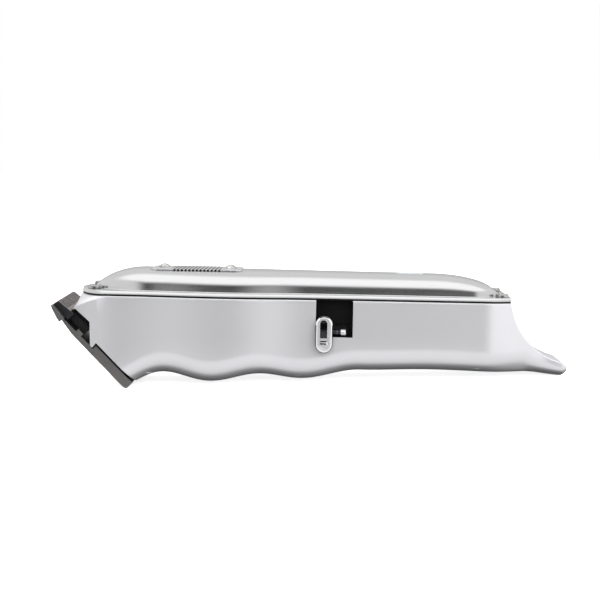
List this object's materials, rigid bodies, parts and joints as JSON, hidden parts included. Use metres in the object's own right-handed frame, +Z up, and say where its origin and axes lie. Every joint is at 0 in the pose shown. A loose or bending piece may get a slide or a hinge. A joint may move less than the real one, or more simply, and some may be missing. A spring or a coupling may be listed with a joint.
{
  "type": "cordless hair trimmer",
  "caption": "Slim cordless hair trimmer with a cast metal body, domed top cover, toothed T blade set at 45 degrees, moving cutter, thumb slide switch and internal motor.",
  "frame": {"origin": "under the middle of the trimmer, level with the heel of the blade", "axes": "+X from the teeth to the tail, +Y across the body, +Z up out of the top cover"},
  "size_m": [0.1512, 0.04, 0.0358],
  "materials": {
    "cast_body": "satin bead-blasted casting",
    "cover_metal": "satin chrome",
    "plate_metal": "brushed, with dark enamel stripes",
    "bright_metal": "polished",
    "seal_rubber": "matt",
    "light_pipe": "clear",
    "blade_steel": "ground",
    "cutter_steel": "ground and hardened",
    "black_plastic": "moulded",
    "zinc_screws": "zinc plated",
    "dark_screws": "blackened",
    "spring_steel": "rolled",
    "motor_steel": "nickel plated",
    "magnet_ferrite": "sintered",
    "brass_parts": "turned",
    "copper_parts": "enamelled wire",
    "shaft_steel": "ground",
    "nylon_white": "moulded",
    "cell_sleeve": "shrink sleeve",
    "nickel_tabs": "nickel strip",
    "board_green": "solder mask",
    "chip_black": "moulded",
    "lead_red": "wire sleeve",
    "lead_black": "wire sleeve"
  },
  "bodies": {
    "handle": {"lower_housing": "cast_body", "top_cover": "cover_metal", "cover_gasket": "seal_rubber", "nameplate": "plate_metal", "nameplate_rivets": "bright_metal", "front_cover_screws": "bright_metal", "rear_cover_screws": "bright_metal", "led_lens": "light_pipe", "fixed_blade": "blade_steel", "blade_screws": "dark_screws", "tension_spring": "spring_steel", "spring_screw": "zinc_screws", "inner_chassis": "black_plastic", "chassis_screws": "zinc_screws", "motor_can": "motor_steel", "motor_magnets": "magnet_ferrite", "motor_end_cap": "black_plastic", "motor_bearings": "brass_parts", "motor_terminals": "brass_parts", "motor_screws": "zinc_screws", "battery_cell": "cell_sleeve", "battery_cradle": "black_plastic", "battery_tabs": "nickel_tabs", "cradle_screws": "zinc_screws", "circuit_board": "board_green", "board_components": "chip_black", "board_screws": "zinc_screws", "charge_socket": "black_plastic", "socket_sleeve": "brass_parts", "slide_switch": "black_plastic", "window_liner": "black_plastic", "motor_leads": "lead_red", "battery_leads": "lead_black"},
    "cutter": {"cutter_blade": "cutter_steel", "cutter_yoke": "black_plastic", "yoke_screws": "zinc_screws"},
    "rotor": {"armature": "copper_parts", "commutator": "copper_parts", "motor_shaft": "shaft_steel", "eccentric": "nylon_white"},
    "switch": {"switch_button": "bright_metal", "switch_stem": "black_plastic", "switch_rod": "shaft_steel"}
  },
  "joints": [
    {"name": "motor_spin", "type": "hinge", "parent": "handle", "child": "rotor", "pos_m": [-0.03, 0, 0.017], "axis": [1, 0, 0], "continuous": true},
    {"name": "cutter_slide", "type": "slide", "parent": "handle", "child": "cutter", "axis": [0, 1, 0], "range_m": [-0.0013, 0.0013]},
    {"name": "switch_slide", "type": "slide", "parent": "handle", "child": "switch", "axis": [1, 0, 0], "range_m": [0, 0.0058]}
  ]
}
